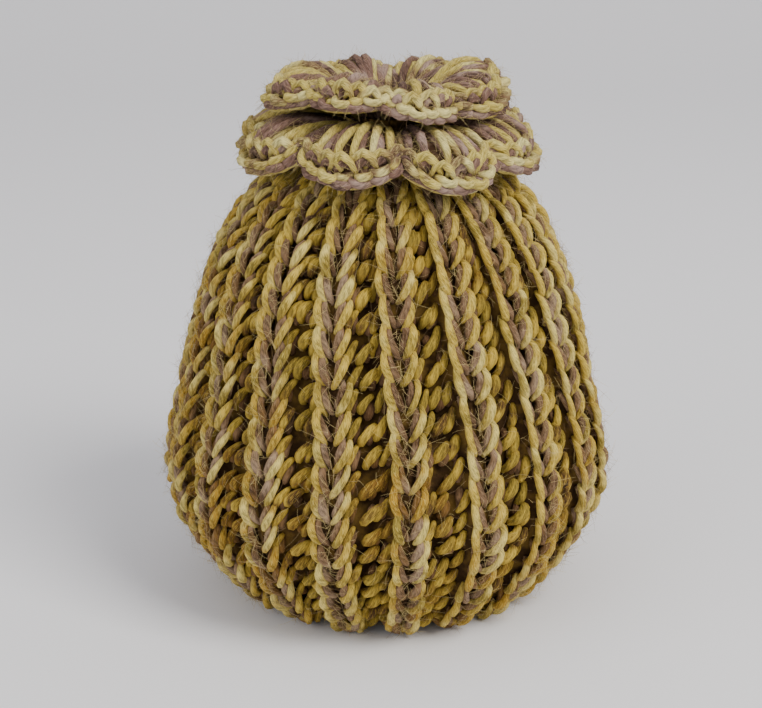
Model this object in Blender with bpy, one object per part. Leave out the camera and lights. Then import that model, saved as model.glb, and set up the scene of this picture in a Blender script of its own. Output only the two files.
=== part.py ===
# A crochet tea cosy: one ribbed body with a slit for a spout and a slit for a handle, drawn in at
# the neck, and two rounds of petals above it. Metres, +Z up. The origin is under the middle of the
# hem. The front looks along -Y, the spout slit is on the -X side and the handle slit on the +X side.
import math

import bmesh
import bpy
from mathutils import Vector

# Ribs
RIBS = 19
RIB_PITCH = math.tau / RIBS
RIB_RISE = 0.0046
RIB_TURN = math.radians(5.2)
RIB_LEAN = math.radians(-3.0)
RIB_WANDER = math.radians(0.8)
LEAN_FROM, LEAN_OVER = 0.070, 0.060
FULL_RIB_RADIUS = 0.055
COLUMNS_PER_RIB = 8

# Body, from the hem to the drawn-in neck: height, radius over the ribs
BODY_PROFILE = (
    (0.000, 0.0520),
    (0.014, 0.0645),
    (0.030, 0.0745),
    (0.046, 0.0790),
    (0.064, 0.0770),
    (0.084, 0.0720),
    (0.104, 0.0672),
    (0.122, 0.0613),
    (0.137, 0.0535),
    (0.149, 0.0435),
    (0.157, 0.0310),
    (0.161, 0.0190),
    (0.1645, 0.0112),
    (0.175, 0.0108),
)
BODY_STEPS = 20

# Cavity, from its open mouth to its crown: height, radius
CAVITY_PROFILE = (
    (-0.004, 0.0415),
    (0.000, 0.0425),
    (0.014, 0.0550),
    (0.030, 0.0652),
    (0.046, 0.0700),
    (0.064, 0.0680),
    (0.084, 0.0630),
    (0.104, 0.0580),
    (0.122, 0.0520),
    (0.137, 0.0440),
    (0.149, 0.0320),
    (0.156, 0.0190),
)
CAVITY_STEPS = 15
CAVITY_COLUMNS = 40

# Slits, spread open: side of the body, middle height, height, width. Both lie a little behind the
# body's widest line
SPOUT_SLIT = {"side": -1.0, "middle": 0.064, "height": 0.050, "width": 0.024}
HANDLE_SLIT = {"side": 1.0, "middle": 0.064, "height": 0.076, "width": 0.017}
SLIT_BACK = 0.008
SLIT_SPREAD = 0.034
SLIT_FROM, SLIT_TO = 0.030, 0.095
SLIT_POINTS = 24

# Petals: eight to a round, each round a ring of scalloped cloth. The middle of a petal and the
# crease between two petals each run from the neck to the rim: radius, height. The rim is frilled,
# and stands higher in front by its tilt and nearer the neck in front and behind by its squeeze
PETALS = 8
PETAL_PITCH = math.tau / PETALS
PETAL_COLUMNS = 12 * PETALS
SECTION_STEPS = 12
PETAL_THICKNESS = 0.0044
LOWER_PETALS = {
    "turn": math.radians(-107),
    "middle": ((0.0112, 0.1676), (0.024, 0.1706), (0.036, 0.1702), (0.046, 0.1655), (0.0498, 0.157)),
    "crease": ((0.0112, 0.1674), (0.021, 0.1680), (0.031, 0.1678), (0.038, 0.1664), (0.0425, 0.164)),
    "frill": 0.0010,
    "tilt": 0.0,
    "squeeze": 0.0,
}
UPPER_PETALS = {
    "turn": math.radians(-69.5),
    "middle": ((0.0112, 0.1732), (0.019, 0.1793), (0.0275, 0.1840), (0.036, 0.1832), (0.0408, 0.1765)),
    "crease": ((0.0112, 0.1732), (0.0165, 0.1756), (0.0235, 0.1780), (0.0295, 0.1795), (0.0330, 0.1787)),
    "frill": 0.0012,
    "tilt": 0.0018,
    "squeeze": 0.13,
}

YARN_COLOUR = (0.42, 0.29, 0.10, 1.0)
PETAL_COLOUR = (0.50, 0.37, 0.20, 1.0)


def clear_scene():
    for thing in list(bpy.data.objects):
        bpy.data.objects.remove(thing, do_unlink=True)


def new_collection(name):
    collection = bpy.data.collections.new(name)
    bpy.context.scene.collection.children.link(collection)
    return collection


def yarn_material(name, colour):
    material = bpy.data.materials.new(name)
    material.use_nodes = True
    shader = material.node_tree.nodes["Principled BSDF"]
    shader.inputs["Base Color"].default_value = colour
    shader.inputs["Roughness"].default_value = 0.95
    shader.inputs["Metallic"].default_value = 0.0
    return material


def add_object(name, mesh, collection, material=None):
    thing = bpy.data.objects.new(name, mesh)
    if material:
        mesh.materials.append(material)
    collection.objects.link(thing)
    return thing


def smooth_step(low, span, value):
    """0 below low, 1 above low + span, eased between them."""
    t = min(1.0, max(0.0, (value - low) / span))
    return t * t * (3.0 - 2.0 * t)


def along(table, t):
    """The point at share t of a table of (height, radius) rows, on a Catmull-Rom curve."""
    place = min(1.0, max(0.0, t)) * (len(table) - 1)
    row = min(int(place), len(table) - 2)
    share = place - row
    rows = [table[min(len(table) - 1, max(0, row + step))] for step in (-1, 0, 1, 2)]
    before, start, end, after = (Vector(pair) for pair in rows)
    bend = 2 * before - 5 * start + 4 * end - after
    swing = 3 * start - before - 3 * end + after
    return start + 0.5 * share * ((end - before) + share * (bend + share * swing))


def rib_depth(turn, radius):
    """How far the cloth stands below the rib tops here: 0 on a rib, RIB_RISE in a furrow."""
    furrow = 0.5 - 0.5 * math.cos(math.tau * turn / RIB_PITCH)
    return RIB_RISE * min(1.0, radius / FULL_RIB_RADIUS) * furrow**0.6


def rib_angle(turn, height):
    """The ribs' real angle at a height: they lean a little as they rise, and are not quite even."""
    lean = RIB_LEAN * smooth_step(LEAN_FROM, LEAN_OVER, height)
    return turn - 0.5 * math.pi + RIB_TURN + lean + RIB_WANDER * math.sin(3.0 * turn)


def spread_slits(angle, radius, height):
    """The angle after the slits open: each pushes the cloth aside by half its width there, and by
    less further off, down to nothing at SLIT_SPREAD from its line."""
    for slit in (SPOUT_SLIT, HANDLE_SLIT):
        line = math.asin(SLIT_BACK / radius)
        line = line if slit["side"] > 0 else math.pi - line
        up = (height - slit["middle"]) / (0.5 * slit["height"])
        opened = 0.5 * slit["width"] * max(0.0, 1.0 - up * up)
        away = radius * math.remainder(angle - line, math.tau)
        angle += math.copysign(opened, away) * max(0.0, 1.0 - abs(away) / SLIT_SPREAD) / radius
    return angle


def turned_solid(columns, rows, place):
    """A closed solid from a UV sphere, each point moved to place(turn, t), t from 0 to 1 upwards."""
    bm = bmesh.new()
    bmesh.ops.create_uvsphere(bm, u_segments=columns, v_segments=rows, radius=1.0)
    for vert in bm.verts:
        t = 1.0 - math.acos(min(1.0, max(-1.0, vert.co.z))) / math.pi
        on_axis = math.hypot(vert.co.x, vert.co.y) < 1e-5
        vert.co = place(math.atan2(vert.co.y, vert.co.x), t, on_axis)
    mesh = bpy.data.meshes.new("turned")
    bm.to_mesh(mesh)
    bm.free()
    return mesh


def turned_point(table, rows, t, on_axis):
    """Height and radius of a turned shape whose first and last rows close onto the axis."""
    height, radius = along(table, (t * rows - 1.0) / (rows - 2.0))
    return height, 0.0 if on_axis else radius


def body_point(turn, t, on_axis):
    height, radius = turned_point(BODY_PROFILE, BODY_STEPS, t, on_axis)
    radius -= rib_depth(turn, radius)
    angle = spread_slits(rib_angle(turn, height), max(radius, SLIT_BACK), height)
    return Vector((radius * math.cos(angle), radius * math.sin(angle), height))


def cavity_point(turn, t, on_axis):
    height, radius = turned_point(CAVITY_PROFILE, CAVITY_STEPS, t, on_axis)
    return Vector((radius * math.cos(turn), radius * math.sin(turn), height))


def slit_cutter(name, slit, cutters):
    """A pointed oval drawn out along X from inside the cavity to past the cloth."""
    bm = bmesh.new()
    bmesh.ops.create_cone(
        bm, cap_ends=True, segments=SLIT_POINTS, radius1=1.0, radius2=1.0, depth=2.0
    )
    for vert in bm.verts:
        up = vert.co.y
        across = math.copysign(1.0 - up * up, vert.co.x)
        reach = SLIT_TO if vert.co.z > 0 else SLIT_FROM
        vert.co.x = slit["side"] * reach
        vert.co.y = 0.5 * slit["width"] * across + SLIT_BACK
        vert.co.z = 0.5 * slit["height"] * up + slit["middle"]
    bmesh.ops.recalc_face_normals(bm, faces=bm.faces)
    mesh = bpy.data.meshes.new(name)
    bm.to_mesh(mesh)
    bm.free()
    return hide_cutter(add_object(name, mesh, cutters))


def hide_cutter(cutter):
    cutter.hide_render = True
    cutter.display_type = "WIRE"
    return cutter


def cut(solid, cutter):
    modifier = solid.modifiers.new(cutter.name, "BOOLEAN")
    modifier.operation = "DIFFERENCE"
    modifier.object = cutter


def make_body(parts, cutters):
    mesh = turned_solid(RIBS * COLUMNS_PER_RIB, BODY_STEPS, body_point)
    body = add_object("body", mesh, parts, yarn_material("yarn", YARN_COLOUR))
    hollow = turned_solid(CAVITY_COLUMNS, CAVITY_STEPS, cavity_point)
    cut(body, hide_cutter(add_object("cavity", hollow, cutters)))
    cut(body, slit_cutter("spout_slit", SPOUT_SLIT, cutters))
    cut(body, slit_cutter("handle_slit", HANDLE_SLIT, cutters))
    mesh.shade_smooth()
    return body


def petal_point(petals, turn, out, side):
    """A petal ring's point: turn round the neck, out from 0 at the neck to 1 at the rim, side from
    -1 below to 1 above. The cloth domes over each petal and dips into the crease beside it."""
    phase = (turn - petals["turn"]) / PETAL_PITCH
    across = math.cos(math.pi * (phase - round(phase))) ** 0.7
    radius, height = along(petals["crease"], out).lerp(along(petals["middle"], out), across)
    radius *= 1.0 - petals["squeeze"] * out * math.sin(turn) ** 2
    height += petals["frill"] * out * (math.sin(2.0 * turn) + math.sin(3.0 * turn + 1.0))
    height -= petals["tilt"] * out * math.sin(turn)
    height += 0.5 * PETAL_THICKNESS * side
    return Vector((radius * math.cos(turn), radius * math.sin(turn), height))


def make_petals(name, petals, parts, material):
    """A ring of petals from a torus primitive, its round section pressed flat."""
    bpy.ops.mesh.primitive_torus_add(
        major_segments=PETAL_COLUMNS, minor_segments=SECTION_STEPS, major_radius=2.0, minor_radius=1.0
    )
    ring = bpy.context.object
    ring.name = name
    ring.data.name = name
    for vert in ring.data.vertices:
        turn = math.atan2(vert.co.y, vert.co.x)
        out = 0.5 + 0.5 * (math.hypot(vert.co.x, vert.co.y) - 2.0)
        side = math.copysign(abs(vert.co.z) ** 0.5, vert.co.z)
        vert.co = petal_point(petals, turn, out, side)
    ring.data.materials.append(material)
    for collection in list(ring.users_collection):
        collection.objects.unlink(ring)
    parts.objects.link(ring)
    ring.data.shade_smooth()
    return ring


def main():
    clear_scene()
    parts = new_collection("tea_cosy")
    cutters = new_collection("cutters")
    make_body(parts, cutters)
    petal_yarn = yarn_material("petal_yarn", PETAL_COLOUR)
    make_petals("petals_lower", LOWER_PETALS, parts, petal_yarn)
    make_petals("petals_upper", UPPER_PETALS, parts, petal_yarn)


main()
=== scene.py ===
import math

import bmesh
import bpy
import numpy as np
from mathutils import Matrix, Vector


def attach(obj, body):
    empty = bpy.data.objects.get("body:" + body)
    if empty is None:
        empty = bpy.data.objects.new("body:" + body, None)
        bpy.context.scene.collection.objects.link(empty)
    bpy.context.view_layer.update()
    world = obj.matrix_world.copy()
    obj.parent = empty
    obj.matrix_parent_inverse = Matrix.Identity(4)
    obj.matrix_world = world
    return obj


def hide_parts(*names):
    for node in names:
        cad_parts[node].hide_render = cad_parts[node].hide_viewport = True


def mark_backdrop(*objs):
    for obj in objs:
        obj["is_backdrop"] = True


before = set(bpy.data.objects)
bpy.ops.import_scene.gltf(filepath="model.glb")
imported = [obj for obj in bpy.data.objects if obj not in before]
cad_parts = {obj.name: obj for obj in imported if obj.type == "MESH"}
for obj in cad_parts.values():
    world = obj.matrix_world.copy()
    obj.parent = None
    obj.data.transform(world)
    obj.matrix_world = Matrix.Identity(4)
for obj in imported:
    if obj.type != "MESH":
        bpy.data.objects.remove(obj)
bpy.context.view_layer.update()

# Body cloth. The real piece is a tube of crochet ribbing in chunky marled yarn, worked sideways so
# that its rows stand upright, drawn in at the neck and left open in a slit at each side. This sheet
# is the cloth behind the raised stitches, and it takes the place of the plain solid. Its dark brown
# and dull gold are painted shade: the shadow deep in the furrows, over the yarn's own brown.
RIBS = 19
RIB_PITCH = math.tau / RIBS
RIB_RISE = 0.0046
RIB_TURN = math.radians(5.2)
RIB_LEAN = math.radians(-3.0)
RIB_WANDER = math.radians(0.8)
LEAN_FROM, LEAN_OVER = 0.070, 0.060
FULL_RIB_RADIUS = 0.055
WIDEST_RADIUS = 0.079
STITCH = 0.0089
BODY_PROFILE = np.array([
    (0.000, 0.0520),
    (0.014, 0.0645),
    (0.030, 0.0745),
    (0.046, 0.0790),
    (0.064, 0.0770),
    (0.084, 0.0720),
    (0.104, 0.0672),
    (0.122, 0.0613),
    (0.137, 0.0535),
    (0.149, 0.0435),
    (0.157, 0.0310),
    (0.161, 0.0190),
    (0.1645, 0.0112),
    (0.175, 0.0108),
])
SLITS = (
    {"name": "spout", "side": -1.0, "middle": 0.064, "height": 0.050, "width": 0.024},
    {"name": "handle", "side": 1.0, "middle": 0.064, "height": 0.076, "width": 0.017},
)
SLIT_BACK = 0.008
SLIT_SPREAD = 0.034
PANEL_COLUMNS, CLOTH_ROWS = 152, 84
CLOTH_DEPTH = 0.0030
CLOTH_EXTRA_FURROW = 0.0014
CLOTH_THICKNESS = 0.0020
SHADOW_BROWN = (0.050, 0.027, 0.011)
SHADOW_GOLD = (0.150, 0.088, 0.022)


def smooth_curve(table, count):
    """Points evenly through a table's rows on a Catmull-Rom curve: each is the cubic through a row
    and the next whose slope at each end is half the difference of that end's neighbours."""
    place = np.linspace(0.0, len(table) - 1.0, count)
    row = np.minimum(place.astype(int), len(table) - 2)
    share = (place - row)[:, None]
    before, start, end, after = (table[np.clip(row + step, 0, len(table) - 1)] for step in (-1, 0, 1, 2))
    bend = 2 * before - 5 * start + 4 * end - after
    swing = 3 * start - before - 3 * end + after
    return start + 0.5 * share * ((end - before) + share * (bend + share * swing))


def unit(vectors):
    """Each vector divided by its length."""
    return vectors / np.maximum(np.linalg.norm(vectors, axis=-1, keepdims=True), 1e-12)


profile = smooth_curve(BODY_PROFILE, 600)
profile_length = np.append(0.0, np.cumsum(np.linalg.norm(np.diff(profile, axis=0), axis=1)))
profile_slope = np.gradient(profile, profile_length, axis=0)
CLOTH_ROW_END = profile_length[-1] / STITCH
SHOULDER_ROW = int(np.interp(0.161, profile[:, 0], profile_length) / STITCH)


def profile_at(row):
    """Height, radius and the outward direction's height and radius at a row, in stitches up from
    the hem along the cloth. The outward direction is the profile's slope turned a quarter turn."""
    s = row * STITCH
    height, radius = (np.interp(s, profile_length, profile[:, column]) for column in (0, 1))
    rise, spread = (np.interp(s, profile_length, profile_slope[:, column]) for column in (0, 1))
    return height, radius, -spread, rise


def rib_lean(height):
    """The ribs' turn at a height: their turn at the hem, eased into the lean of the shoulder."""
    t = np.clip((height - LEAN_FROM) / LEAN_OVER, 0.0, 1.0)
    return RIB_TURN + RIB_LEAN * t * t * (3.0 - 2.0 * t) - 0.5 * math.pi


def spread_slits(angle, radius, height, home):
    """The angle after the slits open. A slit is half its width times 1 - up squared to each side of
    its line, and pushes what has its home angle on that side by that much, falling to nothing at
    SLIT_SPREAD away."""
    for slit in SLITS:
        line = np.arcsin(np.clip(SLIT_BACK / radius, -1.0, 1.0))
        line = line if slit["side"] > 0 else math.pi - line
        up = (height - slit["middle"]) / (0.5 * slit["height"])
        opened = 0.5 * slit["width"] * np.clip(1.0 - up * up, 0.0, 1.0)
        side = np.sign(np.sin(home - line))
        away = side * radius * np.arctan2(np.sin(angle - line), np.cos(angle - line))
        angle = angle + side * opened * np.clip(1.0 - away / SLIT_SPREAD, 0.0, 1.0) / radius
    return angle


def body_point(turn, across, row, lift):
    """A point of the cloth. turn is the rib's own angle, across its place beside the rib's crest in
    half ribs, row in stitches up from the hem, lift in metres outwards from the rib tops. Where the
    ribs crowd towards the neck, across is raised to a power, so the crest narrows less than the
    furrow does."""
    height, radius, out_height, out_radius = profile_at(row)
    crowd = np.clip(radius / WIDEST_RADIUS, 0.25, 1.0) ** 0.8
    rib = 2.0 * np.round(0.5 * across)
    beside = across - rib
    beside = rib + np.sign(beside) * np.abs(beside) ** crowd
    angle = turn + rib_lean(height) + RIB_WANDER * np.sin(3.0 * turn) + 0.5 * RIB_PITCH * beside
    home = angle[:, angle.shape[1] // 2, None] if angle.ndim == 2 else angle
    angle = spread_slits(angle, radius, height, home)
    lift = lift * np.clip(radius / FULL_RIB_RADIUS, 0.35, 1.0)
    radius = radius + lift * out_radius
    height = height + lift * out_height
    return np.stack([radius * np.cos(angle), radius * np.sin(angle), height], axis=-1)


def furrow_depth(across):
    """How deep the cloth lies below the rib tops, from 0 at a crest to RIB_RISE in a furrow: the
    raised cosine of the place across the rib, to the power 0.6."""
    return RIB_RISE * (0.5 - 0.5 * np.cos(math.pi * across)) ** 0.6


def grid_faces(rows, columns):
    """Quads of a grid of points held row by row."""
    corner = np.arange(rows - 1)[:, None] * columns + np.arange(columns - 1)[None, :]
    return np.stack([corner, corner + 1, corner + columns + 1, corner + columns], axis=-1).reshape(-1, 4)


def new_piece(name, points, faces, material):
    """A smooth-shaded object from points and faces, riding on the cosy's one body."""
    mesh = bpy.data.meshes.new(name)
    mesh.from_pydata(points.reshape(-1, 3).tolist(), [], faces)
    mesh.materials.append(material)
    mesh.shade_smooth()
    piece = bpy.data.objects.new(name, mesh)
    bpy.context.scene.collection.objects.link(piece)
    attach(piece, "root")
    return piece


def weld(piece):
    """Merges points that lie together, where the edges of a sheet's panels meet."""
    bm = bmesh.new()
    bm.from_mesh(piece.data)
    bmesh.ops.remove_doubles(bm, verts=bm.verts, dist=1e-6)
    bm.to_mesh(piece.data)
    bm.free()


def thicken(piece, thickness, offset):
    """Gives an open sheet its thickness."""
    modifier = piece.modifiers.new("thickness", "SOLIDIFY")
    modifier.thickness = thickness
    modifier.offset = offset


class Term:
    """A socket in a shader expression. Each operator on it adds the Math node that works it out."""

    def __init__(self, dye, socket):
        self.dye = dye
        self.socket = socket

    def math(self, operation, first, second=0.0):
        return self.dye.node("ShaderNodeMath", {"operation": operation}, {0: first, 1: second})

    def __add__(self, other):
        return self.math("ADD", self, other)

    def __sub__(self, other):
        return self.math("SUBTRACT", self, other)

    def __rsub__(self, other):
        return self.math("SUBTRACT", other, self)

    def __mul__(self, other):
        return self.math("MULTIPLY", self, other)

    def __pow__(self, other):
        return self.math("POWER", self, other)

    __radd__ = __add__
    __rmul__ = __mul__

    def within(self, low, high):
        """0 below low, 1 above high, eased between."""
        settings = {"interpolation_type": "SMOOTHSTEP"}
        return self.dye.node("ShaderNodeMapRange", settings, {0: self, 1: low, 2: high})


class Dye:
    """One material's node tree, with its Principled shader at hand."""

    def __init__(self, name):
        self.material = bpy.data.materials.new(name)
        self.material.use_nodes = True
        self.tree = self.material.node_tree
        self.shader = self.tree.nodes["Principled BSDF"]

    def join(self, socket, value):
        if isinstance(value, Term):
            self.tree.links.new(value.socket, socket)
        elif isinstance(value, tuple) and socket.type == "RGBA":
            socket.default_value = (*value, 1.0)
        else:
            socket.default_value = value

    def node(self, kind, settings=None, inputs=None, output=0):
        """A node of a type, with its settings set first and then its sockets' values or links."""
        node = self.tree.nodes.new(kind)
        for name, value in (settings or {}).items():
            setattr(node, name, value)
        for name, value in (inputs or {}).items():
            self.join(node.inputs[name], value)
        return Term(self, node.outputs[output])

    def place(self, kind="Object"):
        return self.node("ShaderNodeTexCoord", output=kind)

    def scaled(self, vector, factors):
        return self.node("ShaderNodeVectorMath", {"operation": "MULTIPLY"}, {0: vector, 1: factors})

    def noise(self, vector, scale, detail=2.0, roughness=0.5):
        sockets = {"Vector": vector, "Scale": scale, "Detail": detail, "Roughness": roughness}
        return self.node("ShaderNodeTexNoise", None, sockets)

    def mix(self, share, first, second, blend="MIX"):
        settings = {"data_type": "RGBA", "blend_type": blend}
        return self.node("ShaderNodeMix", settings, {0: share, 6: first, 7: second}, output=2)

    def attribute(self, name):
        return self.node("ShaderNodeAttribute", {"attribute_name": name}, output="Fac")

    def bump(self, height, strength, distance):
        sockets = {"Strength": strength, "Distance": distance, "Height": height}
        self.join(self.shader.inputs["Normal"], self.node("ShaderNodeBump", None, sockets))

    def finish(self, colour, constants):
        for name, value in {"Base Color": colour, **constants}.items():
            self.join(self.shader.inputs[name], value)
        return self.material


def painted_shade_backing(name, deep, bright):
    """Matted yarn deep in the cloth, its dark colours painted shade: two dull colours in blots, over a lumpy
    felted surface.
    """
    dye = Dye(name)
    place = dye.place()
    blots = dye.noise(place, 160.0, 2.0).within(0.42, 0.62)
    lumps = dye.noise(place, 420.0, 3.0, 0.6)
    colour = dye.mix(blots, deep, bright)
    dye.bump(lumps, 0.9, 0.0012)
    return dye.finish(colour, {"Roughness": 1.0, "Specular IOR Level": 0.1})


def body_panel(start, end):
    """One panel of the body between two slits' lines, as a grid of columns from start to end and
    rows from hem to neck, dented between the ribs. The angle runs evenly from line to line."""
    row = np.linspace(0.0, CLOTH_ROW_END, CLOTH_ROWS)[:, None]
    share = np.linspace(0.0, 1.0, PANEL_COLUMNS)[None, :]
    height, radius, out_height, out_radius = profile_at(row)
    line = np.arcsin(np.clip(SLIT_BACK / radius, -1.0, 1.0))
    first, last = start(line), end(line)
    angle = first + (last - first) * share
    across = 2.0 * (angle - rib_lean(height)) / RIB_PITCH
    depth = CLOTH_DEPTH + (1.0 + CLOTH_EXTRA_FURROW / RIB_RISE) * furrow_depth(across)
    depth = depth * np.clip(radius / FULL_RIB_RADIUS, 0.12, 1.0)
    angle = spread_slits(angle, radius, height, 0.5 * (first + last))
    radius = radius - depth * out_radius
    height = height - depth * out_height
    return np.stack([radius * np.cos(angle), radius * np.sin(angle), height + 0.0 * angle], axis=-1)


front_panel = body_panel(lambda line: -math.pi - line, lambda line: line)
back_panel = body_panel(lambda line: line, lambda line: math.pi - line)
panel_faces = grid_faces(CLOTH_ROWS, PANEL_COLUMNS)
body_points = np.concatenate([front_panel.reshape(-1, 3), back_panel.reshape(-1, 3)])
body_faces = np.concatenate([panel_faces, panel_faces + CLOTH_ROWS * PANEL_COLUMNS])
# Painted shade: the backing's dark brown and dull gold stand for the shadow between the ribs.
backing = painted_shade_backing("backing_yarn_painted_shade", SHADOW_BROWN, SHADOW_GOLD)
body_shade_cloth = new_piece("body_shade_cloth", body_points, body_faces.tolist(), backing)
weld(body_shade_cloth)
thicken(body_shade_cloth, CLOTH_THICKNESS, -1.0)
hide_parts("body")

# Rib chains. Each rib is crested with a column of chain stitches, nested V shapes of the same
# two-ply yarn: one ply yellow, one ply mauve brown, loosely twisted, so that the pale ply mostly
# runs up the outside of the V and the dull ply up its inside.
PLY_RADIUS = 0.00142
PLY_OFFSET = 0.00112
YARN_SIDES = 6
CHAIN_POINTS = 9
FIBRE_TWIST = 0.45
TIDY_RANDOM = np.random.default_rng(19)
# Across in half ribs, up in stitches, lift in metres, for the left and right leg of a V
CHAIN_LEFT = np.array([
    (-0.08, -0.14, -0.0036), (-0.17, 0.12, -0.0014), (-0.27, 0.48, -0.0006),
    (-0.31, 0.84, -0.0010), (-0.26, 1.20, -0.0030),
])
CHAIN_RIGHT = np.array([
    (0.08, -0.12, -0.0036), (0.17, 0.12, -0.0016), (0.29, 0.46, -0.0008),
    (0.37, 0.78, -0.0014), (0.34, 1.08, -0.0036),
])
PALE_YELLOW = (0.76, 0.60, 0.17)
YELLOW = (0.60, 0.41, 0.060)
GOLD = (0.44, 0.24, 0.020)
OLIVE = (0.30, 0.21, 0.032)
PALE_MAUVE = (0.37, 0.25, 0.155)
TAUPE = (0.235, 0.135, 0.066)
BROWN = (0.100, 0.048, 0.018)
OCHRE = (0.22, 0.110, 0.018)


def stitch_lines(table, turn, row, count, slack):
    """Centre lines of like stitches: a smooth curve through the table's rows, set at each stitch's
    rib and row, each stitch shifted and stretched a little by its own random slack."""
    shape = smooth_curve(table, count)[None, :, :]
    loose = TIDY_RANDOM.uniform(-1.0, 1.0, (len(turn), 1, 3)) * slack
    size = 1.0 + 0.12 * TIDY_RANDOM.uniform(-1.0, 1.0, (len(turn), 1))
    across = shape[:, :, 0] * size + loose[:, :, 0]
    up = row[:, None] + shape[:, :, 1] + loose[:, :, 1]
    lift = shape[:, :, 2] + loose[:, :, 2]
    up = np.clip(up, 0.02, CLOTH_ROW_END)
    line = body_point(turn[:, None], across, up, lift)
    outward = unit(body_point(turn[:, None], across, up, lift + 0.001) - line)
    return line, outward


def yarn_tubes(line, outward, radius, sides):
    """Closed tubes along lines: at each point a ring of sides points, its first one underneath,
    square to the line. Gives points, faces and each face corner's place: centimetres along, and
    turns round plus FIBRE_TWIST turns a centimetre."""
    count, length = line.shape[:2]
    along = unit(np.gradient(line, axis=1))
    sideways = unit(np.cross(outward, along))
    upright = np.cross(along, sideways)
    turn = -0.5 * math.pi + math.tau * np.arange(sides) / sides
    ring = np.cos(turn)[:, None] * sideways[:, :, None, :] + np.sin(turn)[:, None] * upright[:, :, None, :]
    points = line[:, :, None, :] + radius[..., None, None] * ring
    first = np.arange(count)[:, None, None] * length * sides
    ring_at = np.arange(length - 1)[None, :, None] * sides
    side = np.arange(sides)[None, None, :]
    near, far = first + ring_at + side, first + ring_at + (side + 1) % sides
    walls = np.stack([near, far, far + sides, near + sides], axis=-1).reshape(-1, 4)
    start_cap = (first[:, :, 0] + side[0, 0, ::-1]).reshape(-1, sides)
    end_cap = (first[:, :, 0] + (length - 1) * sides + side[0, 0]).reshape(-1, sides)
    step = np.linalg.norm(np.diff(line, axis=1), axis=2)
    reach = 100.0 * np.concatenate([np.zeros((count, 1)), np.cumsum(step, axis=1)], axis=1)
    low = np.broadcast_to(reach[:, :-1, None], (count, length - 1, sides))
    high = np.broadcast_to(reach[:, 1:, None], (count, length - 1, sides))
    left = np.broadcast_to(side / sides, low.shape)
    right = left + 1.0 / sides
    low_turn, high_turn = FIBRE_TWIST * low, FIBRE_TWIST * high
    wall_place = np.stack([
        low, left + low_turn, low, right + low_turn, high, right + high_turn, high, left + high_turn,
    ], axis=-1).reshape(-1, 2)
    cap_place = np.zeros((2 * count * sides, 2))
    faces = walls.tolist() + start_cap.tolist() + end_cap.tolist()
    return points, faces, np.concatenate([wall_place, cap_place])


def lay_ply(name, line, outward, radius, tone, material):
    """One object of many plies, each with its UV place and its stitch's own tone from 0 to 1."""
    points, faces, place = yarn_tubes(line, outward, radius, YARN_SIDES)
    piece = new_piece(name, points, faces, material)
    piece.data.uv_layers.new(name="along").data.foreach_set("uv", place.astype(np.float32).ravel())
    tones = np.repeat(tone, line.shape[1] * YARN_SIDES).astype(np.float32)
    piece.data.attributes.new("tone", "FLOAT", "POINT").data.foreach_set("value", tones)
    return piece


def lay_yarn(name, line, outward, lean, twist, materials, plump=1.0):
    """Two plies twisted round each line. A ply's centre is the line plus PLY_OFFSET towards lean,
    the angle from sideways to outwards, which turns by twist along the stitch, and the other ply
    is opposite. Each ply thins towards its ends as the square root of a half sine, and has its own
    thickness and slubs."""
    count, length = line.shape[:2]
    share = np.linspace(0.0, 1.0, length)[None, :]
    along = unit(np.gradient(line, axis=1))
    sideways = unit(np.cross(outward, along))
    upright = np.cross(along, sideways)
    angle = (lean[:, None] + twist[:, None] * (share - 0.5))[..., None]
    away = plump * PLY_OFFSET * (np.cos(angle) * sideways + np.sin(angle) * upright)
    radius = plump * PLY_RADIUS * (0.30 + 0.70 * np.sin(math.pi * (0.03 + 0.94 * share)) ** 0.6)
    slub = 1.0 + 0.07 * TIDY_RANDOM.normal(size=(2, count, 1))
    slub = slub + 0.09 * np.sin(math.tau * (1.3 * share + TIDY_RANDOM.uniform(size=(2, count, 1))))
    tone = TIDY_RANDOM.uniform(0.0, 1.0, count)
    light, dark = materials
    lay_ply(name + "_light", line + away, outward, radius * slub[0], tone, light)
    lay_ply(name + "_dark", line - away, outward, radius * slub[1], tone, dark)


def yarn_material(name, pale, main, rich, dull):
    """Spun yarn: its main colour runs to pale and rich over some centimetres of the cloth and to a
    dull one in short lengths, each stitch has its own tone, and fine fibres streak along it."""
    dye = Dye(name)
    place = dye.place()
    tone = dye.attribute("tone")
    length = dye.place("UV")
    fibres = dye.noise(dye.scaled(length, (2.2, 8.0, 1.0)), 1.0, 3.0, 0.65)
    hairs = dye.noise(dye.scaled(length, (5.0, 30.0, 1.0)), 1.0, 2.0, 0.7)
    drift = dye.noise(place, 26.0, 1.5)
    lengths = dye.noise(place, 95.0, 2.0)
    lowness = dye.node("ShaderNodeSeparateXYZ", None, {0: place}, output="Z")
    sideness = dye.node("ShaderNodeSeparateXYZ", None, {0: place}, output="X")
    richness = drift + (0.09 - lowness) * 1.3 - sideness * 1.1 + (tone - 0.5) * 0.16
    colour = dye.mix(richness.within(0.42, 0.66), main, rich)
    colour = dye.mix((lengths + tone * 0.3).within(0.60, 0.82), colour, pale)
    colour = dye.mix((lengths - tone * 0.25).within(0.34, 0.16), colour, dull)
    colour = dye.mix(hairs.within(0.50, 0.68) * 0.6, colour, pale)
    shade = (fibres * 0.45 + hairs * 0.55).within(0.36, 0.56) * 0.70 + 0.32
    colour = dye.mix(1.0, colour, dye.node("ShaderNodeCombineColor", None, {0: shade, 1: shade, 2: shade}),
                     "MULTIPLY")
    dye.bump(fibres * 0.6 + hairs * 0.4, 1.0, 0.0009)
    finish = {"Roughness": 0.92, "Specular IOR Level": 0.22, "Sheen Weight": 0.35, "Sheen Tint": pale}
    return dye.finish(colour, finish)


chain_yarns = (
    yarn_material("yellow_ply", PALE_YELLOW, YELLOW, GOLD, OLIVE),
    yarn_material("brown_ply", PALE_MAUVE, TAUPE, OCHRE, BROWN),
)


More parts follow.
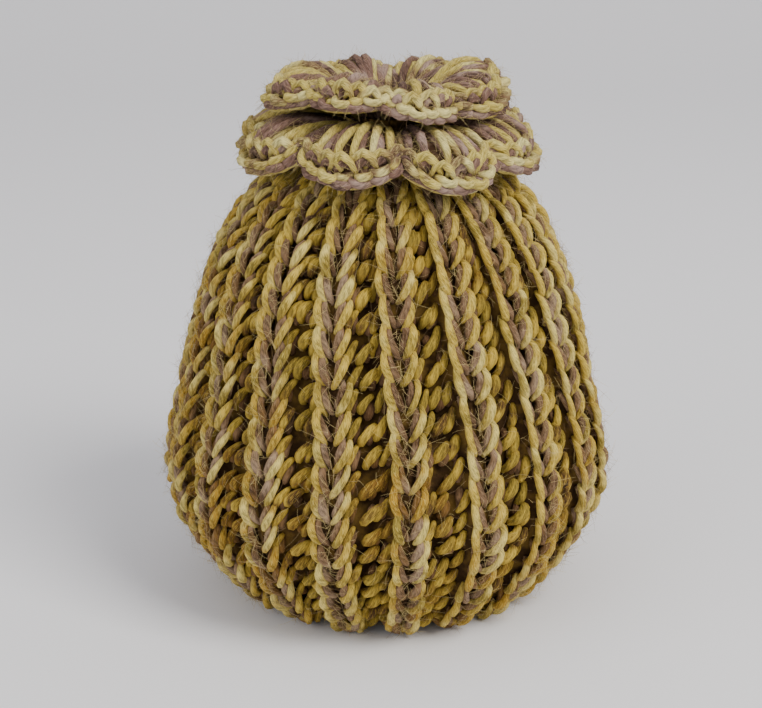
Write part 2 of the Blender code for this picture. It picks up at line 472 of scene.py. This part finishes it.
def stitch_places(rows_from, rows_to):
    """The rib angle and the row of each stitch, for rows from rows_from to rows_to on every rib.
    Neighbouring ribs stand a part of a stitch higher or lower."""
    rib, row = np.meshgrid(np.arange(RIBS), np.arange(rows_from, rows_to), indexing="ij")
    shift = 0.5 * np.sin(2.4 * rib)
    return (rib * RIB_PITCH).ravel(), (row + shift * 0.5 + 0.25).ravel()


def lay_stitches(name, table, lean, twist, slack, yarns, plump=1.0):
    """A family of like stitches over the whole body."""
    turn, row = stitch_places(0, SHOULDER_ROW)
    line, outward = stitch_lines(table, turn, row, CHAIN_POINTS, slack)
    spread = TIDY_RANDOM.normal(0.0, 0.38, len(turn))
    turns = twist * TIDY_RANDOM.uniform(0.6, 1.4, len(turn))
    lay_yarn(name, line, outward, lean + spread, turns, yarns, plump)


chain_slack = (0.018, 0.05, 0.0003)
lay_stitches("chain_left", CHAIN_LEFT, math.radians(25), math.radians(90), chain_slack, chain_yarns)
lay_stitches("chain_right", CHAIN_RIGHT, math.radians(150), math.radians(90), chain_slack, chain_yarns)

# Rib flanks and furrows. Beside each chain the stitches' posts slant down into the furrow on the
# right and come up out of it on the left, and a column of short humps runs up its middle.
RIGHT_POST = np.array([
    (0.42, -0.24, -0.0058), (0.48, 0.00, -0.0042), (0.58, 0.32, -0.0044), (0.66, 0.62, -0.0066),
])
LEFT_POST = np.array([
    (-0.70, -0.16, -0.0076), (-0.64, 0.10, -0.0062), (-0.56, 0.40, -0.0060), (-0.48, 0.70, -0.0070),
])
FURROW_HUMP = np.array([
    (0.92, -0.16, -0.0078), (0.98, 0.06, -0.0056), (1.10, 0.30, -0.0052), (1.22, 0.50, -0.0074),
])
# Painted shade: the furrow stitches wear darker copies of the chains' two plies, gold and olive over brown, for
# the shadow in the furrows.
shaded_furrow_yarns = (
    yarn_material("gold_ply_painted_shade", YELLOW, OLIVE, OCHRE, BROWN),
    yarn_material("dark_ply_painted_shade", TAUPE, BROWN, OCHRE, SHADOW_BROWN),
)
post_slack = (0.06, 0.12, 0.0006)
lay_stitches("post_right", RIGHT_POST, math.radians(60), math.radians(90), post_slack, shaded_furrow_yarns)
lay_stitches("post_left", LEFT_POST, math.radians(60), math.radians(90), post_slack, shaded_furrow_yarns, 1.1)
lay_stitches("furrow_hump", FURROW_HUMP, math.radians(60), math.radians(90), post_slack, shaded_furrow_yarns, 1.3)

# Hem and slit edges. The ribs' ends make the hem, and one strand follows them in and out round the
# mouth. The same strand binds the lips of each slit.
HEM_STEPS = 24 * RIBS
LIP_STEPS = 72


def lay_strand(name, line, outward, strands):
    """A strand of two plies laid side by side along one closed line, the pale ply outside."""
    radius = np.full(line.shape[:2], PLY_RADIUS)
    tone = np.full(line.shape[0], 0.5)
    along = unit(np.gradient(line, axis=1))
    beside = PLY_OFFSET * unit(np.cross(outward, along))
    wave = 0.0005 * np.sin(math.tau * strands * np.linspace(0.0, 1.0, line.shape[1]))[None, :, None]
    light, dark = chain_yarns
    lay_ply(name + "_light", line + beside + wave * outward, outward, radius, tone, light)
    lay_ply(name + "_dark", line - beside - wave * outward, outward, radius, tone, dark)


hem_turn = np.linspace(0.0, math.tau, HEM_STEPS + 1)[None, :]
hem_rib = np.round(hem_turn / RIB_PITCH)
hem_across = 2.0 * (hem_turn / RIB_PITCH - hem_rib)
hem_row = 0.22 + 0.20 * furrow_depth(hem_across) / RIB_RISE
hem_lift = -0.0016 - 1.1 * furrow_depth(hem_across)
hem_line = body_point(hem_rib * RIB_PITCH, hem_across, hem_row, hem_lift)
hem_outward = unit(body_point(hem_rib * RIB_PITCH, hem_across, hem_row, hem_lift + 0.001) - hem_line)
lay_strand("hem_edge", hem_line, hem_outward, 2 * RIBS)


def lip_line(slit):
    """The edge of a slit as a closed loop just under the rib tops: up and down by the sine of a
    turn, and half its width times 1 - up squared to each side."""
    turn = np.linspace(0.0, math.tau, LIP_STEPS + 1)[None, :]
    up = np.sin(turn)
    height = slit["middle"] + 0.5 * slit["height"] * up
    row = np.interp(height, profile[:, 0], profile_length) / STITCH
    height, radius, out_height, out_radius = profile_at(row)
    opened = 0.5 * slit["width"] * (1.0 - up * up) * np.sign(np.cos(turn))
    line = np.arcsin(SLIT_BACK / radius)
    angle = (line if slit["side"] > 0 else math.pi - line) + opened / radius
    outward = np.stack([out_radius * np.cos(angle), out_radius * np.sin(angle), out_height], axis=-1)
    place = np.stack([radius * np.cos(angle), radius * np.sin(angle), height], axis=-1)
    return place - 0.0042 * outward, outward


for slit in SLITS:
    lay_strand(slit["name"] + "_slit_edge", *lip_line(slit), 9)

# Lower petals. Eight fans worked round the drawn-in neck that droop outwards, each of seven posts
# side by side, edged with a chain and one last strand. The sheet under them is the matted cloth,
# its dark brown and taupe painted shade for the gaps between the posts.
PETALS = 8
PETAL_PITCH = math.tau / PETALS
POSTS = 6
PETAL_COLUMNS, PETAL_ROWS = 24 * PETALS, 16
PETAL_SHEET = 0.0018
LOWER_PETALS = {
    "name": "petals_lower",
    "turn": math.radians(-107),
    "middle": np.array([(0.0112, 0.1676), (0.024, 0.1706), (0.036, 0.1702), (0.046, 0.1655), (0.0498, 0.157)]),
    "crease": np.array([(0.0112, 0.1674), (0.021, 0.1680), (0.031, 0.1678), (0.038, 0.1664), (0.0425, 0.164)]),
    "frill": 0.0010,
    "tilt": 0.0,
    "squeeze": 0.0,
}
# Painted shade: the petal sheet's dark brown and taupe stand for the shadow under and between the posts.
PETAL_SHADE_BROWN = (0.060, 0.032, 0.018)
PETAL_SHADE_TAUPE = (0.150, 0.092, 0.055)


def petal_point(petals, turn, out, lift):
    """A point of a petal round: out runs from 0 at the neck to 1 at the rim along a curve that
    blends from the crease's to the middle's by the cosine of the place across the petal, to the
    power 0.7, and lift is metres above it."""
    steps = np.linspace(0.0, 1.0, 200)
    crease, middle = (smooth_curve(petals[key], 200) for key in ("crease", "middle"))
    phase = (turn - petals["turn"]) / PETAL_PITCH
    blend = np.abs(np.cos(math.pi * (phase - np.round(phase)))) ** 0.7
    low = [np.interp(out, steps, crease[:, column]) for column in (0, 1)]
    high = [np.interp(out, steps, middle[:, column]) for column in (0, 1)]
    radius, height = (a + (b - a) * blend for a, b in zip(low, high))
    radius = radius * (1.0 - petals["squeeze"] * out * np.sin(turn) ** 2)
    height = height + petals["frill"] * out * (np.sin(2.0 * turn) + np.sin(3.0 * turn + 1.0))
    height = height - petals["tilt"] * out * np.sin(turn)
    return np.stack([radius * np.cos(turn), radius * np.sin(turn), height + lift], axis=-1)


def petal_outward(petals, turn, out):
    """The direction square to the petal's upper face: the cross of its slopes out and round."""
    out = np.clip(out, 0.02, 0.98)
    outwards = petal_point(petals, turn, out + 0.02, 0.0) - petal_point(petals, turn, out - 0.02, 0.0)
    round_it = petal_point(petals, turn + 0.02, out, 0.0) - petal_point(petals, turn - 0.02, out, 0.0)
    return unit(np.cross(outwards, round_it))


def petal_sheet(petals):
    """The cloth of one round of petals, as a ring of columns whose last one is its first."""
    turn = np.linspace(0.0, math.tau, PETAL_COLUMNS + 1)[None, :]
    out = np.linspace(0.0, 0.98, PETAL_ROWS)[:, None]
    points = petal_point(petals, turn, out + 0.0 * turn, -0.0004)
    faces = grid_faces(PETAL_ROWS, PETAL_COLUMNS + 1)[:, ::-1]
    name = petals["name"]
    material = painted_shade_backing(name + "_backing_painted_shade", PETAL_SHADE_BROWN, PETAL_SHADE_TAUPE)
    sheet = new_piece(name + "_shade_cloth", points, faces.tolist(), material)
    weld(sheet)
    thicken(sheet, PETAL_SHEET, 0.0)
    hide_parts(name)
    return sheet


def petal_lines(petals, turn, out, lift, count):
    """Centre lines on a petal round through tables of turn, out and lift, one row a strand."""
    place = np.linspace(0.0, turn.shape[1] - 1.0, turn.shape[1])
    share = np.linspace(0.0, turn.shape[1] - 1.0, count)
    turn, out, lift = (
        np.stack([np.interp(share, place, line) for line in table]) for table in (turn, out, lift)
    )
    outward = petal_outward(petals, turn, out)
    return petal_point(petals, turn, out, 0.0) + lift[..., None] * outward, outward


def petal_posts(petals, materials):
    """Posts fanning out over each petal: they start close together near the neck and spread
    towards the rim."""
    petal, post = np.meshgrid(np.arange(PETALS), np.arange(POSTS) - 0.5 * (POSTS - 1), indexing="ij")
    centre = petals["turn"] + petal.ravel() * PETAL_PITCH
    beside = post.ravel() / POSTS * PETAL_PITCH
    loose = TIDY_RANDOM.uniform(-1.0, 1.0, (centre.size, 2))
    turn = centre[:, None] + beside[:, None] * np.array([0.90, 0.90, 0.94, 0.98, 1.0])
    turn = turn + 0.02 * loose[:, :1]
    out = np.array([0.04, 0.28, 0.52, 0.70, 0.84]) + 0.02 * loose[:, 1:]
    lift = np.broadcast_to(np.array([-0.0004, 0.0010, 0.0020, 0.0019, 0.0004]), turn.shape)
    line, outward = petal_lines(petals, turn, out, lift, CHAIN_POINTS)
    lean = TIDY_RANDOM.uniform(0.0, math.tau, centre.size)
    twist = TIDY_RANDOM.uniform(1.5, 3.0, centre.size)
    lay_yarn(petals["name"] + "_posts", line, outward, lean, twist, materials, 1.06)


def petal_edging(petals, materials):
    """The chain along each petal's rim, a V for each post whose two legs part along the rim."""
    petal, post = np.meshgrid(np.arange(PETALS), np.arange(POSTS + 1) - 0.5 * (POSTS + 1), indexing="ij")
    centre = petals["turn"] + petal.ravel() * PETAL_PITCH
    start = post.ravel() / (POSTS + 1.0) * PETAL_PITCH
    step = PETAL_PITCH / (POSTS + 1.0)
    for leg, out in (("inner", (0.87, 0.80, 0.775, 0.80, 0.85)), ("outer", (0.88, 0.93, 0.96, 0.95, 0.90))):
        loose = TIDY_RANDOM.uniform(-1.0, 1.0, (centre.size, 2))
        turn = centre[:, None] + start[:, None] + step * np.array([-0.1, 0.2, 0.55, 0.95, 1.3])
        turn = turn + 0.012 * loose[:, :1]
        out = np.array(out) + 0.015 * loose[:, 1:]
        lift = np.broadcast_to(np.array([0.0000, 0.0020, 0.0028, 0.0021, 0.0002]), turn.shape)
        line, outward = petal_lines(petals, turn, out, lift, CHAIN_POINTS)
        lean = TIDY_RANDOM.normal(0.6, 0.6, centre.size)
        twist = TIDY_RANDOM.uniform(1.0, 2.0, centre.size)
        name = petals["name"] + "_edging_" + leg
        lay_yarn(name, line, outward, lean, twist, materials, 1.08)


def petal_rim(petals, materials):
    """The last strand round the whole rim, in and out of every crease, its pale ply outermost."""
    turn = np.linspace(0.0, math.tau, 40 * PETALS + 1)[None, :]
    out = np.full(turn.shape, 0.985)
    outward = petal_outward(petals, turn, out)
    line = petal_point(petals, turn, out, 0.0) - 0.0003 * outward
    light, dark = materials
    wave = 0.0004 * np.sin(7.0 * PETALS * turn)[..., None]
    radius = np.full(turn.shape, 0.00125)
    level = unit(line * (1.0, 1.0, 0.0))
    lay_ply(petals["name"] + "_rim_light", line + level * 0.0009 - 0.0008 * outward + wave * outward,
            outward, radius, np.array([0.5]), light)
    lay_ply(petals["name"] + "_rim_dark", line + 0.0009 * outward - wave * outward,
            outward, radius, np.array([0.5]), dark)


petal_yarns = (
    yarn_material("petal_yellow_ply", (0.78, 0.67, 0.26), (0.60, 0.46, 0.10), (0.36, 0.24, 0.045),
                  (0.20, 0.11, 0.060)),
    yarn_material("petal_mauve_ply", (0.40, 0.27, 0.215), (0.205, 0.112, 0.080), (0.34, 0.24, 0.070),
                  (0.080, 0.040, 0.026)),
)
petal_sheet(LOWER_PETALS)
petal_posts(LOWER_PETALS, petal_yarns)
petal_edging(LOWER_PETALS, petal_yarns)
petal_rim(LOWER_PETALS, petal_yarns)

# Upper petals. The second round stands up from the neck in a shallow cup, its eight fans curling
# over at the rim. It is worked as the lower round is.
UPPER_PETALS = {
    "name": "petals_upper",
    "turn": math.radians(-69.5),
    "middle": np.array([(0.0112, 0.1732), (0.019, 0.1793), (0.0275, 0.1840), (0.036, 0.1832), (0.0408, 0.1765)]),
    "crease": np.array([(0.0112, 0.1732), (0.0165, 0.1756), (0.0235, 0.1780), (0.0295, 0.1795), (0.0330, 0.1787)]),
    "frill": 0.0012,
    "tilt": 0.0018,
    "squeeze": 0.13,
}
petal_sheet(UPPER_PETALS)
petal_posts(UPPER_PETALS, petal_yarns)
petal_edging(UPPER_PETALS, petal_yarns)
petal_rim(UPPER_PETALS, petal_yarns)

# Fuzz. The yarn is brushed wool, so loose fibre ends stand out all over it and soften the outline.
# Each is a thin bent three-sided hair rooted in the stitches.
HAIR_RADIUS = 0.000055
HAIR_POINTS = 4
BODY_HAIRS, PETAL_HAIRS = 9600, 2200
HAIR_CREAM = (0.66, 0.52, 0.22)
HAIR_BROWN = (0.26, 0.17, 0.09)


def hair_lines(root, outward):
    """Bent hairs: from a root along a direction between outwards and sideways, falling away to one
    side by the square of the way along."""
    count = len(root)
    share = np.linspace(0.0, 1.0, HAIR_POINTS)[None, :, None]
    sideways = unit(np.cross(outward, TIDY_RANDOM.normal(size=(count, 3))))[:, None, :]
    bend = unit(np.cross(outward, TIDY_RANDOM.normal(size=(count, 3))))[:, None, :]
    length = TIDY_RANDOM.uniform(0.0030, 0.0075, (count, 1, 1))
    slope = TIDY_RANDOM.uniform(0.8, 5.0, (count, 1, 1))
    along = unit(outward[:, None, :] + slope * sideways)
    line = root[:, None, :] + length * (share * along + 0.35 * share**2 * bend)
    line[..., 2] = np.maximum(line[..., 2], 0.0004)
    return line


def hair_material():
    """Fine fibres, cream to brown by the hair."""
    dye = Dye("loose_fibre")
    colour = dye.mix(dye.attribute("tone").within(0.35, 0.75), HAIR_CREAM, HAIR_BROWN)
    return dye.finish(colour, {"Roughness": 0.9, "Specular IOR Level": 0.2})


def lay_hairs(name, root, outward, material, slot):
    line = hair_lines(root, outward)
    facing = np.broadcast_to(np.cross(outward, (0.31, 0.22, 0.92))[:, None, :], line.shape)
    radius = HAIR_RADIUS * np.linspace(1.0, 0.45, HAIR_POINTS)[None, :] * np.ones((len(root), 1))
    points, faces, place = yarn_tubes(line, facing, radius, 3)
    piece = new_piece(name, points, faces, material)
    tones = np.repeat(TIDY_RANDOM.uniform(0.0, 1.0, len(root)), HAIR_POINTS * 3).astype(np.float32)
    piece.data.attributes.new("tone", "FLOAT", "POINT").data.foreach_set("value", tones)


def body_roots(count):
    """Random places on the stitches, as many to each stitch high or low on the body, and most of
    them on the crests: across is the cube of an even spread."""
    turn = TIDY_RANDOM.integers(0, RIBS, count) * RIB_PITCH
    across = 0.9 * TIDY_RANDOM.uniform(-1.0, 1.0, count) ** 3
    row = TIDY_RANDOM.uniform(0.6, SHOULDER_ROW, count)
    lift = 0.0006 - 0.9 * furrow_depth(across)
    root = body_point(turn, across, row, lift)
    return root, unit(body_point(turn, across, row, lift + 0.001) - root)


def petal_roots(petals, count):
    """Random places on a round's upper face, more of them towards the rim."""
    turn = TIDY_RANDOM.uniform(0.0, math.tau, count)
    out = TIDY_RANDOM.uniform(0.25, 1.0, count) ** 0.6
    outward = petal_outward(petals, turn, out)
    return petal_point(petals, turn, out, 0.0) + 0.0022 * outward, outward


fibre = hair_material()
lay_hairs("body_fuzz", *body_roots(BODY_HAIRS), fibre, "yarn")
for petals in (LOWER_PETALS, UPPER_PETALS):
    lay_hairs(petals["name"] + "_fuzz", *petal_roots(petals, PETAL_HAIRS), fibre, "petal_yarn")

# Studio. A pale floor that curves up behind the cosy, a broad soft light from the upper right, a
# weaker one from the left and an even pale surround.
FLOOR_WIDTH, FLOOR_FRONT, FLOOR_BACK, FLOOR_HIGH = 6.0, -2.0, 0.9, 2.4
AIM = Vector((-0.0021, 0.0, 0.0850))
DISTANCE, ELEVATION = 0.65, math.radians(19.3)
FOCAL_PIXELS, FRAME_PIXELS, SENSOR = 1820.0, 762.0, 36.0


def floor_sheet():
    """A flat floor that bends up into a wall on a quarter circle behind the object."""
    bend = np.linspace(0.0, 0.5 * math.pi, 24)
    depth = np.concatenate([[FLOOR_FRONT], FLOOR_BACK + np.sin(bend), [FLOOR_BACK + 1.0]])
    height = np.concatenate([[0.0], 1.0 - np.cos(bend), [FLOOR_HIGH]])
    x = np.linspace(-0.5 * FLOOR_WIDTH, 0.5 * FLOOR_WIDTH, 3)[None, :]
    points = np.stack([x + 0.0 * depth[:, None], depth[:, None] + 0.0 * x, height[:, None] + 0.0 * x], axis=-1)
    mesh = bpy.data.meshes.new("studio_floor")
    mesh.from_pydata(points.reshape(-1, 3).tolist(), [], grid_faces(len(depth), 3).tolist())
    mesh.shade_smooth()
    dye = Dye("studio_paper")
    grain = dye.noise(dye.place(), 900.0, 2.0)
    mesh.materials.append(dye.finish(dye.mix(grain, (0.83, 0.82, 0.83), (0.87, 0.86, 0.87)), {"Roughness": 0.9}))
    floor = bpy.data.objects.new("studio_floor", mesh)
    bpy.context.scene.collection.objects.link(floor)
    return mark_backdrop(floor)


def soft_light(name, place, size, power, colour):
    """A square area light at a place, facing the cosy."""
    lamp = bpy.data.lights.new(name, "AREA")
    lamp.size = size
    lamp.energy = power
    lamp.color = colour
    light = bpy.data.objects.new(name, lamp)
    light.location = place
    light.rotation_euler = (AIM - Vector(place)).to_track_quat("-Z", "Y").to_euler()
    bpy.context.scene.collection.objects.link(light)


floor_sheet()
soft_light("key", (0.9, -0.8, 1.4), 0.8, 30.0, (1.0, 0.98, 0.94))
soft_light("fill", (-1.3, -1.0, 0.8), 1.4, 11.0, (0.94, 0.96, 1.0))
world = bpy.data.worlds.new("surround")
world.use_nodes = True
world.node_tree.nodes["Background"].inputs["Color"].default_value = (0.90, 0.90, 0.94, 1.0)
world.node_tree.nodes["Background"].inputs["Strength"].default_value = 0.70
bpy.context.scene.world = world

lens = bpy.data.cameras.new("camera")
lens.sensor_width = SENSOR
lens.lens = SENSOR * FOCAL_PIXELS / FRAME_PIXELS
camera = bpy.data.objects.new("camera", lens)
camera.location = AIM + DISTANCE * Vector((0.0, -math.cos(ELEVATION), math.sin(ELEVATION)))
camera.rotation_euler = (AIM - camera.location).to_track_quat("-Z", "Y").to_euler()
bpy.context.scene.collection.objects.link(camera)
bpy.context.scene.camera = camera
